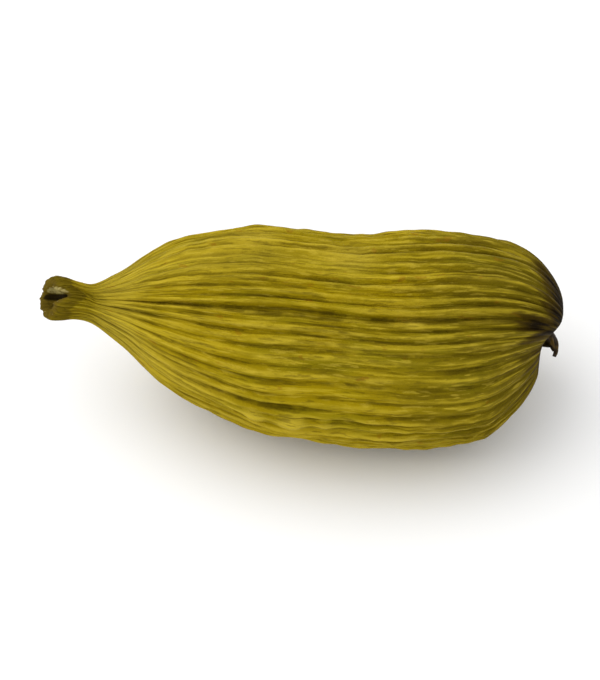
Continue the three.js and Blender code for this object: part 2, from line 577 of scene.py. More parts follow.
@dataclass(frozen=True)
class Skin:
    """The fine relief of the dry skin, in millimetres.

    Attributes:
        crest_width: How wide a rib's crest is, in radians of a rib's wave.
        furrow_width: How wide the furrow between two ribs is, in the same unit.
        vein_count: How many fine veins run among the ribs.
        vein_strength: How high they stand, against a rib.
        wander: How far ribs wander from their lines, in the same unit.
        crests: How much the crests fade and strengthen on their way.
        furrows: How much the furrows do.
        veins: How much the fine veins do.
        dash_range: The weakest and the strongest that each of them gets.
        worn: A smoother patch, whose depth is the share of the ribs that it takes away.
        pale: Paler patches, whose depth is how pale they are: partly straw colour and partly painted
            highlight, on the upper face, along the lower left and on the bumps.
        fibres: Strands and threads along the ribs.
        wrinkles: Lumps, knobs and cross wrinkles of the shrunken skin.
        bumps: Small bumps near the underside with a crease above them, and one bump by the groove.
    """

    crest_width: float = 1.15
    furrow_width: float = 0.95
    vein_count: int = 83
    vein_strength: float = 0.5
    wander: Grain = Grain(1.6, 0.12, 0.9, 5.3)
    crests: Grain = Grain(0.6, 0.8, 1.5, 71.7)
    furrows: Grain = Grain(0.7, 0.85, 1.5, 83.1)
    veins: Grain = Grain(1.5, 0.7, 1.6, 97.5)
    dash_range: Range = (0.25, 1.5)
    worn: Dent = Dent(6.6, 48, 0.5, 4.2, 26)
    # Paler patches, partly painted highlight: on the upper face, along the lower left and on the bumps
    pale: tuple[Dent, ...] = (
        Dent(6.6, 48, 0.33, 4.2, 26),
        Dent(3.0, 5, 0.5, 1.1, 150),
        Dent(4.8, -45, 0.45, 2.8, 18),
        Dent(8.4, 64, 0.3, 1.0, 11),
        Dent(12.0, 50, 0.45, 1.2, 13),
        Dent(8.3, -51, 0.8, 0.35, 5),
        Dent(9.75, -49, 0.8, 0.5, 5),
        Dent(14.3, 8, 0.6, 0.5, 3.5),
        Dent(16.6, -6, 0.5, 0.35, 3.5),
    )
    fibres: tuple[Grain, ...] = (
        Grain(0.05, 0.25, 3.6, 37.3),
        Grain(0.04, 0.5, 5.5, 43.1),
    )
    wrinkles: tuple[Grain, ...] = (
        Grain(0.05, 0.3, 0.5, 11.1),
        Grain(0.04, 1.0, 1.6, 23.9),
        Grain(0.045, 2.0, 1.0, 51.7),
    )
    bumps: tuple[Dent, ...] = (
        Dent(8.3, -51, -0.19, 0.32, 4.6),
        Dent(9.75, -49, -0.2, 0.46, 5.0),
        Dent(11.0, -47, -0.13, 0.3, 4.2),
        Dent(9.4, -40, 0.13, 1.1, 3.0),
        Dent(14.3, 8, -0.14, 0.55, 3.2),
    )

    def lines(
        self, shape: PodShape, along: np.ndarray, around: np.ndarray, radius: np.ndarray
    ) -> np.ndarray:
        """How far ribs, fibres and bumps lift points from the outline.

        Args:
            shape: The pod's form, which gives the ribs' count, depth and strength.
            along: Places along the outline.
            around: Angles around it, in radians.
            radius: The outline's radii there.

        Returns:
            The lifts, in millimetres.
        """
        places = self.places(shape, along, around)
        phase = shape.rib_count * around + self.wander.at(places)
        crest = bell(turn_between(0.0, phase), self.crest_width) * self._dashed(self.crests, places)
        furrow = bell(turn_between(math.pi, phase), self.furrow_width) * self._dashed(self.furrows, places)
        fine_phase = self.vein_count * around + self.wander.at(places)
        vein = bell(turn_between(0.0, fine_phase), self.crest_width) * self._dashed(self.veins, places)
        ribbed = crest - furrow + self.vein_strength * vein
        ribs = shape.rib_scale(around, radius) * ribbed * (1.0 - self.worn.at(along, around))
        raised = -shape.body_share(radius) * sum(bump.at(along, around) for bump in self.bumps)
        return ribs + raised + self._taper(shape, radius) * sum(layer.at(places) for layer in self.fibres)

    def shrinkage(
        self, shape: PodShape, along: np.ndarray, around: np.ndarray, radius: np.ndarray
    ) -> np.ndarray:
        """How far the wrinkles of the shrunken skin lift points from the outline.

        Args:
            shape: The pod's form.
            along: Places along the outline.
            around: Angles around it, in radians.
            radius: The outline's radii there.

        Returns:
            The lifts, in millimetres.
        """
        places = self.places(shape, along, around)
        return self._taper(shape, radius) * sum(layer.at(places) for layer in self.wrinkles)

    def _dashed(self, grain: Grain, places: np.ndarray) -> np.ndarray:
        """The strength of crests, furrows or veins at places on the skin."""
        return np.clip(1.0 + grain.at(places), *self.dash_range)

    @staticmethod
    def _taper(shape: PodShape, radius: np.ndarray) -> np.ndarray:
        """How the relief tapers with the pod."""
        return (radius / shape.radius) ** shape.rib_taper_power

    @staticmethod
    def places(shape: PodShape, along: np.ndarray, around: np.ndarray) -> np.ndarray:
        """Places on the skin as if the pod were a plain round bar, so that patterns follow the ribs."""
        return np.stack((along, shape.radius * np.sin(around), shape.radius * np.cos(around)), axis=1)


class Shader:
    """The nodes of one material, made and linked as they are asked for."""

    def __init__(self, name: str) -> None:
        """Starts a material that has only its surface shader.

        Args:
            name: The material's name.
        """
        self.material = bpy.data.materials.new(name)
        self.material.use_nodes = True
        self.tree = self.material.node_tree
        self.surface = self.tree.nodes["Principled BSDF"]

    def feed(self, socket: Socket, value: object) -> None:
        """Links a socket to another node's output, or sets its value.

        Args:
            socket: The socket to feed.
            value: The output or the value.
        """
        if isinstance(value, bpy.types.NodeSocket):
            self.tree.links.new(value, socket)
        else:
            socket.default_value = value

    def node(self, kind: str, inputs: dict, settings: dict | None = None) -> bpy.types.Node:
        """Adds a node.

        Args:
            kind: The node's type name.
            inputs: Values or outputs to feed, by the socket's name or number.
            settings: The node's own settings, by name.

        Returns:
            The node.
        """
        node = self.tree.nodes.new(kind)
        for name, value in (settings or {}).items():
            setattr(node, name, value)
        for name, value in inputs.items():
            self.feed(node.inputs[name], value)
        return node

    def skin_map(self, which: SkinMap) -> Socket:
        """Reads one of the values that the mesh carries."""
        node = self.node("ShaderNodeAttribute", {}, {"attribute_name": which.value})
        return node.outputs["Vector" if which is SkinMap.PLACE else "Fac"]

    def along(self, place: Socket) -> Socket:
        """Places along the pod, in millimetres, from places on the skin."""
        return self.node("ShaderNodeSeparateXYZ", {0: place}).outputs["X"]

    def object_place(self) -> Socket:
        """Places on the object, in metres."""
        return self.node("ShaderNodeTexCoord", {}).outputs["Object"]

    def ramp(self, value: Socket, start: Range, end: Range = (0.0, 1.0)) -> Socket:
        """Maps a range of values smoothly to another, and holds it there beyond its ends.

        Args:
            value: The value to map.
            start: The two values that are mapped.
            end: What they are mapped to.

        Returns:
            The mapped value.
        """
        inputs = {"Value": value, 1: start[0], 2: start[1], 3: end[0], 4: end[1]}
        settings = {"interpolation_type": "SMOOTHSTEP"}
        return self.node("ShaderNodeMapRange", inputs, settings).outputs["Result"]

    def chain(self, way: Sum, *values: object) -> Socket:
        """Adds up or multiplies values.

        Args:
            way: Whether they are added or multiplied.
            values: The values.

        Returns:
            The result, which is the value itself where there is only one.
        """
        result = values[0]
        settings = {"operation": way.value}
        for value in values[1:]:
            result = self.node("ShaderNodeMath", {0: result, 1: value}, settings).outputs[0]
        return result

    def lay(self, under: object, over: object, share: object) -> Socket:
        """Lays a colour over another, as far as a share of 0 to 1 says."""
        inputs = {0: share, 6: under, 7: over}
        return self.node("ShaderNodeMix", inputs, {"data_type": "RGBA"}).outputs[2]

    def bump(self, height: Socket, depth_mm: float) -> Socket:
        """A surface normal that reads a height of 0 to 1 as relief of that depth."""
        return self.node("ShaderNodeBump", {"Height": height, "Distance": depth_mm * MM}).outputs["Normal"]

    def dress(
        self, colour: Socket, roughness: object, specular: float, normal: Socket | None = None
    ) -> bpy.types.Material:
        """Feeds the surface shader.

        Args:
            colour: The surface's colour.
            roughness: Its roughness, as one value or as another node's output.
            specular: How strongly it mirrors, the same all over.
            normal: Its fine relief, if it has any.

        Returns:
            The finished material.
        """
        inputs = self.surface.inputs
        self.feed(inputs["Base Color"], colour)
        self.feed(inputs["Roughness"], roughness)
        self.feed(inputs["Specular IOR Level"], specular)
        if normal is not None:
            self.feed(inputs["Normal"], normal)
        return self.material


@dataclass(frozen=True)
class Pattern:
    """Smooth noise for a finish, in steps of its own along the pod and around it.

    Attributes:
        along: How quickly it changes along the pod, per unit of the coordinates that it reads.
        around: How quickly it changes around the pod, per unit of those coordinates.
        detail: How many finer layers it holds.
    """

    along: float
    around: float
    detail: float = 4.0

    def over(self, shader: Shader, place: Socket) -> Socket:
        """Draws the pattern.

        Args:
            shader: The material's nodes.
            place: The coordinates that it reads.

        Returns:
            The pattern's values, from 0 to 1.
        """
        scale = (self.along, self.around, self.around)
        stretched = shader.node("ShaderNodeMapping", {"Vector": place, "Scale": scale}).outputs["Vector"]
        inputs = {"Vector": stretched, "Scale": 1.0, "Detail": self.detail}
        return shader.node("ShaderNodeTexNoise", inputs).outputs["Fac"]


@dataclass(frozen=True)
class Coat:
    """A colour that a value brings out.

    Attributes:
        colour: The colour.
        start: The values where none of it shows, and where it shows in full.
        strength: How much of what lies under it it covers there.
    """

    colour: Colour
    start: Range
    strength: float = 1.0

    def over(self, shader: Shader, under: object, value: Socket, *masks: Socket) -> Socket:
        """Lays the coat over a colour.

        Args:
            shader: The material's nodes.
            under: The colour under it.
            value: The value that brings the coat out.
            masks: Values of 0 to 1 that hold it back.

        Returns:
            The colour with the coat on it.
        """
        share = shader.chain(Sum.MULTIPLY, shader.ramp(value, self.start, (0.0, self.strength)), *masks)
        return shader.lay(under, linear(self.colour), share)


@dataclass(frozen=True)
class HuskFinish:
    """Dry, fibrous husk: olive green to straw, pale on the rib crests and brown in the furrows, partly its
    own colour and partly painted highlight and painted shade.

    Coats are listed in the order in which they are laid, before the patterns that bring them out. A stretch
    is where along the pod something starts and is full, in millimetres.
    """

    # The ground: olive and gold, with greener patches, straw-coloured patches that are partly painted
    # highlight, and painted shade towards the flower's end
    olive: Colour = (127, 110, 6)
    gold: Coat = Coat((152, 130, 4), (0.36, 0.64))
    green: Coat = Coat((120, 116, 14), (0.5, 0.72), 0.35)
    # Straw colour on the pale patches, partly painted highlight
    straw: Coat = Coat((192, 170, 54), (0.05, 0.6), 0.6)
    # Painted shade that darkens the pod towards the flower's end
    flower_end_shade: Coat = Coat((90, 77, 5), (13.0, 19.8), 0.85)
    patches: Pattern = Pattern(0.16, 0.3, 2.0)
    greens: Pattern = Pattern(0.3, 0.9)

    # How much the gold gains at the start of a stretch, and loses at its end: partly the pod's own colour
    # and partly painted light, brighter towards the stalk
    sunny: Range = (0.26, -0.1)
    sunny_stretch: Range = (3.0, 18.5)

    # Along the ribs: streaks, bolder on the taper to the stalk as partly painted highlight and painted
    # shade, then crests, flecks, furrows and specks
    pale_streak: Coat = Coat((194, 170, 40), (0.53, 0.63), 0.42)
    dark_streak: Coat = Coat((84, 70, 4), (0.47, 0.37), 0.5)
    # Pale crests: partly the husk's own colour, partly painted highlight
    crest: Coat = Coat((194, 170, 46), (0.2, 0.95), 0.6)
    pale_fleck: Coat = Coat((200, 176, 58), (0.56, 0.66), 0.36)
    dark_fleck: Coat = Coat((78, 64, 4), (0.44, 0.35), 0.42)
    # Dark furrows: partly the husk's own colour, partly painted shade in the recesses
    furrow: Coat = Coat((62, 50, 2), (-0.05, -0.85), 0.68)
    # Painted shade in the grooves between the lobes
    groove: Coat = Coat((58, 46, 2), (0.6, 1.0), 0.55)
    speck: Coat = Coat((132, 86, 9), (0.66, 0.74), 0.4)
    streaks: Pattern = Pattern(0.32, 6.5, 3.0)
    bold_streaks: Pattern = Pattern(0.2, 2.3, 3.0)
    bold_stretch: Range = (8.5, 4.5)
    flecks: Pattern = Pattern(1.3, 11.0, 3.0)
    blots: Pattern = Pattern(1.5, 3.2, 2.0)

    # How crests and furrows break into dashes: values of a pattern, and how much colour is left there
    dashes: Pattern = Pattern(1.3, 1.9, 3.0)
    crest_dashes: tuple[Range, Range] = ((0.36, 0.6), (0.3, 1.0))
    furrow_dashes: tuple[Range, Range] = ((0.64, 0.42), (0.3, 1.0))

    # Where the crests turn dull towards the flower's end, and how much of their paleness is left there
    dull_stretch: Range = (12.5, 18.5)
    dull_crests: float = 0.45

    # The stalk's cut end, where dark fibres break up the pale lip, partly painted highlight, and its mouth
    # gets painted shade; and the dried flower's end, partly painted shade
    stalk: Coat = Coat((108, 91, 10), (0.35, 0.75), 0.85)
    stalk_shade: Coat = Coat((78, 63, 6), (0.46, 0.34), 0.6)
    rim: Coat = Coat((108, 89, 20), (0.2, 0.8), 0.9)
    # Painted shade in the mouth of the stalk's hollow
    hollow: Coat = Coat((36, 26, 4), (0.25, 0.75), 0.95)
    # Pale lip: partly pale pith, partly painted highlight
    lip: Coat = Coat((190, 175, 108), (0.25, 0.75), 0.9)
    # Dried browning and painted shade at the flower's end, darkest in the dimple
    browned_and_shaded: Coat = Coat((60, 45, 2), (0.25, 0.65), 0.92)
    blackened_and_shaded: Coat = Coat((20, 11, 1), (0.6, 0.95), 0.95)
    fibres: Pattern = Pattern(4.0, 2.5)
    lip_breaks: Range = (0.25, 0.5)

    # How ragged the edges of those colours are: values of a pattern, and how far they shift the edges
    ragged: Pattern = Pattern(0.9, 3.0, 6.0)
    raggedness: tuple[Range, Range] = ((0.25, 0.75), (-0.3, 0.3))

    # The grain that is finer than the mesh: patterns with their shares of it, and its depth in millimetres
    threads: tuple[Pattern, float] = (Pattern(0.7, 9.0, 5.0), 0.6)
    creases: tuple[Pattern, float] = (Pattern(3.0, 2.4), 0.25)
    grit: tuple[Pattern, float] = (Pattern(14.0, 16.0, 3.0), 0.25)
    relief_depth: float = 0.16

    # Roughness in the furrows and on the crests, and a faint gloss
    roughness: Range = (0.88, 0.62)
    specular: float = 0.05

    def material(self) -> bpy.types.Material:
        """Builds the husk's material.

        Returns:
            The material.
        """
        shader = Shader("dry_husk")
        place = shader.skin_map(SkinMap.PLACE)
        relief = shader.skin_map(SkinMap.RELIEF)
        colour = self._ground_colour(shader, place)
        colour = self._rib_colours(shader, place, relief, colour)
        colour = self._end_colours(shader, place, colour)
        roughness = shader.ramp(relief, RELIEF_RANGE, self.roughness)
        return shader.dress(colour, roughness, self.specular, self._fine_relief(shader, place))

    def _ground_colour(self, shader: Shader, place: Socket) -> Socket:
        """Colours the skin broadly: gold towards the stalk and olive towards the flower, partly as painted
        light, with patches, pale patches that are partly painted highlight, and painted shade towards the
        flower's end.

        Args:
            shader: The material's nodes.
            place: Places on the skin.

        Returns:
            The colour.
        """
        along = shader.along(place)
        # Gold towards the stalk and olive towards the flower, partly painted light
        lighter = shader.ramp(along, self.sunny_stretch, self.sunny)
        sunny = shader.chain(Sum.ADD, self.patches.over(shader, place), lighter)
        colour = self.gold.over(shader, linear(self.olive), sunny)
        colour = self.green.over(shader, colour, self.greens.over(shader, place))
        # Straw colour and painted highlight on the pale patches
        colour = self.straw.over(shader, colour, shader.skin_map(SkinMap.PALE_AND_HIGHLIGHT))
        # Painted shade towards the flower's end
        return self.flower_end_shade.over(shader, colour, along)

    def _rib_colours(self, shader: Shader, place: Socket, relief: Socket, colour: Socket) -> Socket:
        """Lays streaks, pale crests, dark furrows and specks over the skin: crests partly painted
        highlight, furrows partly painted shade, and grooves painted shade.

        Args:
            shader: The material's nodes.
            place: Places on the skin.
            relief: The skin's relief, from -1 in the furrows to 1 on the crests.
            colour: The skin's broad colour.

        Returns:
            The colour.
        """
        streaks = self.streaks.over(shader, place)
        dashes = self.dashes.over(shader, place)
        dashed = shader.ramp(dashes, *self.crest_dashes)
        broken = shader.ramp(dashes, *self.furrow_dashes)
        bold = self.bold_streaks.over(shader, place)
        along = shader.along(place)
        on_taper = shader.ramp(along, self.bold_stretch)
        dull = shader.ramp(along, self.dull_stretch, (1.0, self.dull_crests))
        colour = self.pale_streak.over(shader, colour, streaks)
        colour = self.dark_streak.over(shader, colour, streaks)
        # Bolder streaks on the taper: partly fibre colour, partly painted highlight and painted shade
        colour = self.pale_streak.over(shader, colour, bold, on_taper)
        colour = self.dark_streak.over(shader, colour, bold, on_taper)
        # Pale crests, partly painted highlight
        colour = self.crest.over(shader, colour, relief, dashed, dull)
        flecks = self.flecks.over(shader, place)
        colour = self.pale_fleck.over(shader, colour, flecks)
        colour = self.dark_fleck.over(shader, colour, flecks)
        # Dark furrows, partly painted shade
        colour = self.furrow.over(shader, colour, relief, broken)
        # Painted shade in the grooves
        colour = self.groove.over(shader, colour, shader.skin_map(SkinMap.GROOVE), broken)
        return self.speck.over(shader, colour, self.blots.over(shader, place))

    def _end_colours(self, shader: Shader, place: Socket, colour: Socket) -> Socket:
        """Colours the stalk's cut end and the dried flower's end over the skin.

        Args:
            shader: The material's nodes.
            place: Places on the skin.
            colour: The skin's colour.

        Returns:
            The colour with both ends laid over it.
        """
        ragged = self.ragged.over(shader, place)
        fibres = self.fibres.over(shader, place)
        uneven = shader.ramp(ragged, *self.raggedness)
        stalk = shader.skin_map(SkinMap.STALK)
        colour = self.stalk.over(shader, colour, shader.chain(Sum.ADD, stalk, uneven))
        colour = self.stalk_shade.over(shader, colour, fibres, stalk)
        colour = self.rim.over(shader, colour, shader.skin_map(SkinMap.RIM))
        # Painted shade in the mouth of the stalk's hollow
        colour = self.hollow.over(shader, colour, shader.skin_map(SkinMap.MOUTH_SHADE))
        unbroken = shader.ramp(fibres, self.lip_breaks)
        # Pale lip, partly painted highlight
        colour = self.lip.over(shader, colour, shader.skin_map(SkinMap.LIP), unbroken)
        # Dried browning and painted shade at the flower's end
        dried = shader.chain(Sum.ADD, shader.skin_map(SkinMap.FLOWER), uneven)
        colour = self.browned_and_shaded.over(shader, colour, dried)
        return self.blackened_and_shaded.over(shader, colour, dried)

    def _fine_relief(self, shader: Shader, place: Socket) -> Socket:
        """Makes the grain that is finer than the mesh: threads along the ribs, cross creases and grit.

        Args:
            shader: The material's nodes.
            place: Places on the skin.

        Returns:
            The surface normal.
        """
        heights = [
            shader.chain(Sum.MULTIPLY, pattern.over(shader, place), share)
            for pattern, share in (self.threads, self.creases, self.grit)
        ]
        return shader.bump(shader.chain(Sum.ADD, *heights), self.relief_depth)


@dataclass(frozen=True)
class FibreFinish:
    """Torn plant fibre at the stalk's cut end."""

    dark: Colour = (96, 78, 22)
    pale: Coat = Coat((176, 156, 92), (0.38, 0.62))
    streaks: Pattern = Pattern(2200.0, 6000.0)
    relief_depth: float = 0.01
    roughness: float = 0.8
    specular: float = 0.2

    def material(self) -> bpy.types.Material:
        """Builds the fibres' material, dark with pale streaks.

        Returns:
            The material.
        """
        shader = Shader("torn_fibre")
        streaks = self.streaks.over(shader, shader.object_place())
        colour = self.pale.over(shader, linear(self.dark), streaks)
        relief = shader.bump(streaks, self.relief_depth)
        return shader.dress(colour, self.roughness, self.specular, relief)


@dataclass(frozen=True)
class ShredFinish:
    """The dried flower: brown-black, papery and wrinkled."""

    dark: Colour = (36, 24, 4)
    worn: Coat = Coat((96, 72, 14), (0.42, 0.68), 0.8)
    wear: Pattern = Pattern(3500.0, 3500.0)
    veins: Pattern = Pattern(2500.0, 9000.0, 3.0)
    relief_depth: float = 0.03
    roughness: float = 0.7
    specular: float = 0.25

    def material(self) -> bpy.types.Material:
        """Builds the shreds' material, with brown worn patches on near-black.

        Returns:
            The material.
        """
        shader = Shader("dried_flower")
        where = shader.object_place()
        colour = self.worn.over(shader, linear(self.dark), self.wear.over(shader, where))
        relief = shader.bump(self.veins.over(shader, where), self.relief_depth)
        return shader.dress(colour, self.roughness, self.specular, relief)


@dataclass(frozen=True)
class FloorFinish:
    """A plain pale studio floor, with the faintest unevenness."""

    shade: Colour = (250, 250, 250)
    pale: Coat = Coat((252, 252, 252), (0.3, 0.7))
    unevenness: Pattern = Pattern(12.0, 12.0, 2.0)
    roughness: float = 0.9
    specular: float = 0.1

    def material(self) -> bpy.types.Material:
        """Builds the floor's material.

        Returns:
            The material.
        """
        shader = Shader("pale_floor")
        uneven = self.unevenness.over(shader, shader.object_place())
        colour = self.pale.over(shader, linear(self.shade), uneven)
        return shader.dress(colour, self.roughness, self.specular)


def object_from(bm: bmesh.types.BMesh, name: str, material: bpy.types.Material) -> bpy.types.Object:
    """Makes a smooth-shaded object from a bmesh and frees the bmesh.

    Args:
        bm: The mesh, in its final place.
        name: The object's name.
        material: Its one material.

    Returns:
        The object, linked to the scene.
    """
    mesh = bpy.data.meshes.new(name)
    bm.to_mesh(mesh)
    bm.free()
    mesh.shade_smooth()
    mesh.materials.append(material)
    made = bpy.data.objects.new(name, mesh)
    bpy.context.scene.collection.objects.link(made)
    return made


@dataclass
class Husk:
    """The ribbed capsule with its stalk stub and flower stump, grown as one piece.

    Attributes:
        shape: The pod's form.
        skin: The fine relief of its skin.
        finish: Its finish.
        rows: Steps of the outline over the stalk's end, the body and the flower's end.
        columns_per_rib: Steps around the pod for each rib.
        merge_distance: How close points of the spun skin are joined into one, in millimetres.
        least_taper: The least share of the pod's radius that the relief is measured against.
        stub_edge: Where the cut's colours fade along the stalk, in depths of its hollow.
        rim_edge: Where they fade across the rim, in radii of the rim.
        far_side: Where the stub's far side starts and is full, by the cosine of the turn from its middle.
        wall_edge: Where the wall round the hollow starts and is full, in radii of the hollow.
        stalk_fade: Where along the pod the stalk's colour fades, in millimetres.
        flower_fade: Where along the pod the dried flower's colour, partly painted shade, starts and is
            full, in millimetres.
        edge_browning_and_shade: How dark the upper lobe's end is, against the dimple: dried browning and
            painted shade.
        dimple_dark_reach: The radii between which the dimple's colour fades, in millimetres.
        upper_side: Where the upper lobe starts and is full, by the sine of the angle around the pod.
        lower_lobe_browning_and_shade: How dark the lower lobe's end is, against the upper one's: dried
            browning and painted shade.
        stump_paleness: How much less dark the stump is than the dimple.
        cleft_browning_and_shade: How dark the grooves' ends are, against the dimple: dried browning and
            painted shade.
        cleft_half_width: How far that reaches to each side of a groove, in degrees.
        cleft_fade: Where along the pod it starts in the grooves and is full, in millimetres.
        stump_dark_patch: A darker patch on the lower lobe beside the stump, whose depth is how dark it is.
    """

    shape: PodShape
    skin: Skin = Skin()
    finish: HuskFinish = HuskFinish()
    rows: tuple[int, int, int] = (34, 140, 30)
    columns_per_rib: int = 9
    merge_distance: float = 0.00001
    least_taper: float = 0.05
    stub_edge: Range = (1.0, 1.2)
    rim_edge: Range = (0.85, 1.0)
    far_side: Range = (0.0, 0.5)
    wall_edge: Range = (0.95, 1.1)
    stalk_fade: Range = (0.35, 1.15)
    flower_fade: Range = (17.8, 19.5)
    edge_browning_and_shade: float = 0.85
    dimple_dark_reach: Range = (1.08, 2.16)
    upper_side: Range = (-0.3, 0.3)
    lower_lobe_browning_and_shade: float = 0.5
    stump_paleness: float = 0.2
    cleft_browning_and_shade: float = 0.85
    cleft_half_width: float = 11.0
    cleft_fade: Range = (17.0, 19.0)
    stump_dark_patch: Dent = Dent(19.15, 0, 0.8, 0.65, 10)

    def build(self) -> tuple[bpy.types.Object, Resting]:
        """Builds the husk.

        Returns:
            The object, and how the pod lies.
        """
        husk = object_from(self._spun(), "husk", self.finish.material())
        resting = self._shape_skin(husk.data)
        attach(husk, BODY)
        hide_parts(NODE)
        return husk, resting

    def _spun(self) -> bmesh.types.BMesh:
        """Spins the outline about the pod's length.

        Returns:
            The plain, closed skin, in millimetres.
        """
        bm = bmesh.new()
        verts = [bm.verts.new((along, 0.0, radius)) for radius, along in self.shape.outline(self.rows)]
        edges = [bm.edges.new(pair) for pair in zip(verts, verts[1:])]
        bmesh.ops.spin(
            bm,
            geom=verts + edges,
            cent=(0.0, 0.0, 0.0),
            axis=(1.0, 0.0, 0.0),
            angle=2 * math.pi,
            steps=self.shape.rib_count * self.columns_per_rib,
            use_merge=True,
        )
        bmesh.ops.remove_doubles(bm, verts=bm.verts, dist=self.merge_distance)
        bmesh.ops.recalc_face_normals(bm, faces=bm.faces)
        return bm

    def _shape_skin(self, mesh: bpy.types.Mesh) -> Resting:
        """Moves the plain skin's points to their places and stores what the finish reads.

        Args:
            mesh: The spun skin, which is changed.

        Returns:
            How the pod lies.
        """
        plain = np.empty(3 * len(mesh.vertices))
        mesh.vertices.foreach_get("co", plain)
        along, y, z = plain.reshape(-1, 3).T
        around = np.arctan2(y, z)
        radius = np.hypot(y, z)
        lines = self.skin.lines(self.shape, along, around, radius)
        lift = lines + self.skin.shrinkage(self.shape, along, around, radius)
        points = self.shape.place(along, around, radius, lift)
        resting = Resting.in_box(self.shape, points)
        mesh.vertices.foreach_set("co", resting.lay(points).ravel())
        mesh.update()
        for which, values in self._maps(along, around, radius, lines).items():
            kind = "FLOAT_VECTOR" if which is SkinMap.PLACE else "FLOAT"
            field = "vector" if which is SkinMap.PLACE else "value"
            layer = mesh.attributes.new(which.value, kind, "POINT")
            layer.data.foreach_set(field, values.astype(np.float32).ravel())
        return resting

    def _maps(
        self, along: np.ndarray, around: np.ndarray, radius: np.ndarray, lines: np.ndarray
    ) -> dict[SkinMap, np.ndarray]:
        """Works out what the finish reads at each point.

        Args:
            along: Places along the outline.
            around: Angles around it, in radians.
            radius: The outline's radii there.
            lines: How far ribs, fibres and bumps stand out there.

        Returns:
            The values of each map.
        """
        shape = self.shape
        angle = shape.angle(around, along)
        height = radius * np.sin(angle)
        taper = np.maximum(radius / shape.radius, self.least_taper) ** shape.rib_taper_power
        in_stub = 1.0 - smooth_step(along / shape.cup_depth, *self.stub_edge)
        on_rim = in_stub * (1.0 - smooth_step(radius / shape.rim_radius, *self.rim_edge))
        far_side = smooth_step(-np.cos(angle), *self.far_side)
        far_wall = far_side * smooth_step(radius / shape.cup_radius, *self.wall_edge)
        return {
            SkinMap.PLACE: self.skin.places(shape, along, around),
            SkinMap.RELIEF: np.clip(lines / (0.5 * shape.rib_depth * taper), *RELIEF_RANGE),
            SkinMap.GROOVE: shape.groove(angle) * shape.body_share(radius),
            SkinMap.STALK: 1.0 - smooth_step(along, *self.stalk_fade),
            SkinMap.RIM: on_rim,
            # Pale lip, partly painted highlight
            SkinMap.LIP: on_rim * shape.split.lip_share(height) * (1.0 - far_wall),
            # Painted shade in the mouth of the stalk's hollow
            SkinMap.MOUTH_SHADE: on_rim * shape.split.mouth_shade_share(height, radius, shape.cup_radius),
            # Dried browning and painted shade at the flower's end
            SkinMap.FLOWER: self._dried_and_shaded(along, angle, radius),
            # Pale patches, partly painted highlight
            SkinMap.PALE_AND_HIGHLIGHT: sum(patch.at(along, around) for patch in self.skin.pale),
        }

    def _dried_and_shaded(self, along: np.ndarray, angle: np.ndarray, radius: np.ndarray) -> np.ndarray:
        """How dark the flower's end is, by dried browning and painted shade: most in the dimple, and least
        on the lower lobes' edges.

        Args:
            along: Places along the outline.
            angle: Angles around the pod, in radians.
            radius: The outline's radii there.

        Returns:
            Values of 0 to 1.
        """
        shape = self.shape
        in_end = smooth_step(along, *self.flower_fade)
        upper = smooth_step(np.sin(angle), *self.upper_side)
        # The upper lobe's end is darker than the lower's: dried browning and painted shade
        browned_and_shaded = in_end * (self.lower_lobe_browning_and_shade + (1.0 - self.lower_lobe_browning_and_shade) * upper)
        in_dimple = in_end * (1.0 - smooth_step(radius, *self.dimple_dark_reach))
        cleft = bell(shape.from_groove(angle), math.radians(self.cleft_half_width))
        cleft = self.cleft_browning_and_shade * cleft * smooth_step(along, *self.cleft_fade)
        stump_patch = self.stump_dark_patch.at(along, angle)
        dried = np.maximum.reduce((self.edge_browning_and_shade * browned_and_shaded, in_dimple, cleft, stump_patch))
        return dried * (1.0 - self.stump_paleness * shape.stump_share(along, radius))


